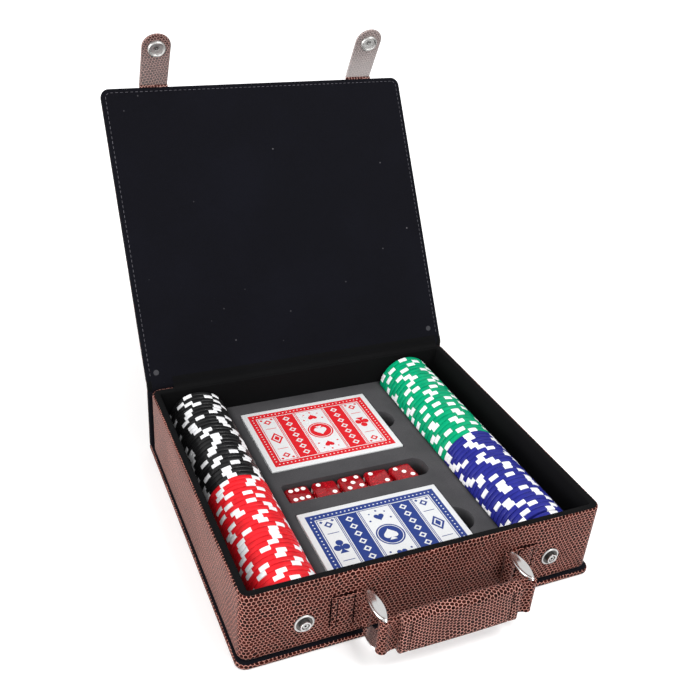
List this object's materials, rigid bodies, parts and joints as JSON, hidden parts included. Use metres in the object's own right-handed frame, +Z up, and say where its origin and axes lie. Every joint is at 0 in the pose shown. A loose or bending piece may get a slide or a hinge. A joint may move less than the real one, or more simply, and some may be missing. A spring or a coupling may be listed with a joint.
{
  "type": "poker set case",
  "caption": "Book style carrying case with a lined tray, chips, card boxes and dice in foam, snap tabs and a handle on links.",
  "frame": {"origin": "under the middle of the tray, on the surface that the case rests on", "axes": "+X to the right, +Y to the lid hinge at the back, +Z up"},
  "size_m": [0.2206, 0.3374, 0.2562],
  "materials": {
    "cover_leather": "dark brown grained faux leather, slight gloss",
    "lining_felt": "navy black felt",
    "board": "raw grey board",
    "nickel": "bright nickel plate",
    "foam": "flocked foam",
    "padding": "soft wadding",
    "black_chip": "moulded, slight gloss",
    "red_chip": "moulded, slight gloss",
    "green_chip": "moulded, slight gloss",
    "blue_chip": "moulded, slight gloss",
    "red_box": "coated card, printed",
    "blue_box": "coated card, printed",
    "cards": "plastic coated card",
    "dice": "polished, see-through red"
  },
  "bodies": {
    "case": {"base_leather": "cover_leather", "base_board": "board", "base_lining": "lining_felt", "spine_leather": "cover_leather", "spine_board": "board", "spine_lining": "lining_felt", "tray_front_board": "board", "tray_back_board": "board", "tray_left_board": "board", "tray_right_board": "board", "tray_floor_board": "board", "tray_leather": "cover_leather", "tray_lining": "lining_felt", "foam_insert": "foam", "stud_rivets": "nickel", "left_stud": "nickel", "right_stud": "nickel", "left_wall_loop": "cover_leather", "right_wall_loop": "cover_leather"},
    "lid": {"lid_leather": "cover_leather", "lid_board": "board", "lid_lining": "lining_felt", "tab_tails": "cover_leather"},
    "tab_left": {"left_tab": "cover_leather", "left_socket": "nickel", "left_cap": "nickel"},
    "tab_right": {"right_tab": "cover_leather", "right_socket": "nickel", "right_cap": "nickel"},
    "link_left": {"left_link": "nickel"},
    "link_right": {"right_link": "nickel"},
    "handle": {"handle_strap": "cover_leather", "grip_cover": "cover_leather", "grip_padding": "padding"},
    "black_stack": {"black_chips": "black_chip"},
    "red_stack": {"red_chips": "red_chip"},
    "green_stack": {"green_chips": "green_chip"},
    "blue_stack": {"blue_chips": "blue_chip"},
    "red_deck": {"red_card_box": "red_box", "red_cards": "cards"},
    "blue_deck": {"blue_card_box": "blue_box", "blue_cards": "cards"},
    "dice_1": {"die_1": "dice"},
    "dice_2": {"die_2": "dice"},
    "dice_3": {"die_3": "dice"},
    "dice_4": {"die_4": "dice"},
    "dice_5": {"die_5": "dice"}
  },
  "joints": [
    {"name": "lid_hinge", "type": "hinge", "parent": "case", "child": "lid", "pos_m": [0, 0.0997, 0.051], "axis": [-1, 0, 0], "range_deg": [-123.4, 56.6]},
    {"name": "left_tab_fold", "type": "hinge", "parent": "lid", "child": "tab_left", "pos_m": [-0.0739, 0.21101, 0.21963], "axis": [-1, 0, 0], "range_deg": [-30, 120]},
    {"name": "right_tab_fold", "type": "hinge", "parent": "lid", "child": "tab_right", "pos_m": [0.0781, 0.21101, 0.21963], "axis": [-1, 0, 0], "range_deg": [-30, 120]},
    {"name": "left_link_swing", "type": "hinge", "parent": "case", "child": "link_left", "pos_m": [-0.04, -0.1006, 0.0235], "axis": [0, 0, 1], "range_deg": [-45, 45]},
    {"name": "right_link_swing", "type": "hinge", "parent": "case", "child": "link_right", "pos_m": [0.0475, -0.1006, 0.0235], "axis": [0, 0, 1], "range_deg": [-45, 45]},
    {"name": "handle_swing", "type": "hinge", "parent": "link_left", "child": "handle", "pos_m": [-0.04, -0.1206, 0.0235], "axis": [0, 0, 1], "range_deg": [-45, 45]},
    {"name": "black_stack_lift", "type": "slide", "parent": "case", "child": "black_stack", "axis": [0, 0, 1], "range_m": [0, 0.06]},
    {"name": "red_stack_lift", "type": "slide", "parent": "case", "child": "red_stack", "axis": [0, 0, 1], "range_m": [0, 0.06]},
    {"name": "green_stack_lift", "type": "slide", "parent": "case", "child": "green_stack", "axis": [0, 0, 1], "range_m": [0, 0.06]},
    {"name": "blue_stack_lift", "type": "slide", "parent": "case", "child": "blue_stack", "axis": [0, 0, 1], "range_m": [0, 0.06]},
    {"name": "red_deck_lift", "type": "slide", "parent": "case", "child": "red_deck", "axis": [0, 0, 1], "range_m": [0, 0.06]},
    {"name": "blue_deck_lift", "type": "slide", "parent": "case", "child": "blue_deck", "axis": [0, 0, 1], "range_m": [0, 0.06]},
    {"name": "dice_1_lift", "type": "slide", "parent": "case", "child": "dice_1", "axis": [0, 0, 1], "range_m": [0, 0.06]},
    {"name": "dice_2_lift", "type": "slide", "parent": "case", "child": "dice_2", "axis": [0, 0, 1], "range_m": [0, 0.06]},
    {"name": "dice_3_lift", "type": "slide", "parent": "case", "child": "dice_3", "axis": [0, 0, 1], "range_m": [0, 0.06]},
    {"name": "dice_4_lift", "type": "slide", "parent": "case", "child": "dice_4", "axis": [0, 0, 1], "range_m": [0, 0.06]},
    {"name": "dice_5_lift", "type": "slide", "parent": "case", "child": "dice_5", "axis": [0, 0, 1], "range_m": [0, 0.06]}
  ],
  "couplings": [
    {"joint": "handle_swing", "follows": "left_link_swing", "ratio": -1},
    {"joint": "right_link_swing", "follows": "left_link_swing", "ratio": 1}
  ]
}
